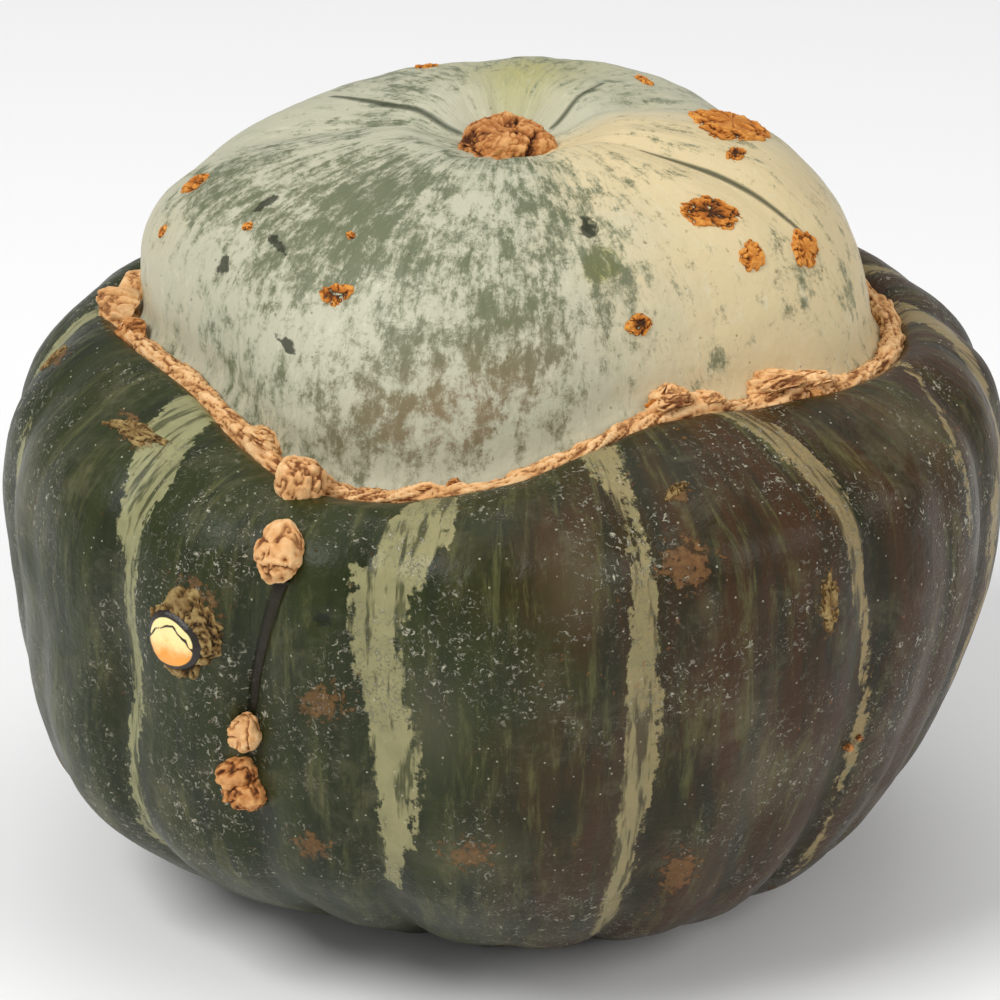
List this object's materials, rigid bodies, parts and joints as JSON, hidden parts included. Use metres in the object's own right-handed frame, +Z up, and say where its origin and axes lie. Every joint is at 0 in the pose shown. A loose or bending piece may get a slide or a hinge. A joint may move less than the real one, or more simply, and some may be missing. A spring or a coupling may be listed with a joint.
{
  "type": "buttercup squash",
  "caption": "Dark green turban-shaped squash with pale stripes, a pale grey-green button on top, a cork ring round it and a corky blossom scar.",
  "frame": {"origin": "on the ground, under the middle of the fruit's outline", "axes": "+Z up from the stem end to the button, -Y the side with the beads of cork down one groove, +X to the right seen from that side"},
  "size_m": [0.191, 0.1918, 0.1498],
  "materials": {
    "rind": "waxy",
    "cork": "matt"
  },
  "bodies": {
    "root": {"squash_fruit": "rind", "stem_stub": "cork"}
  },
  "joints": []
}
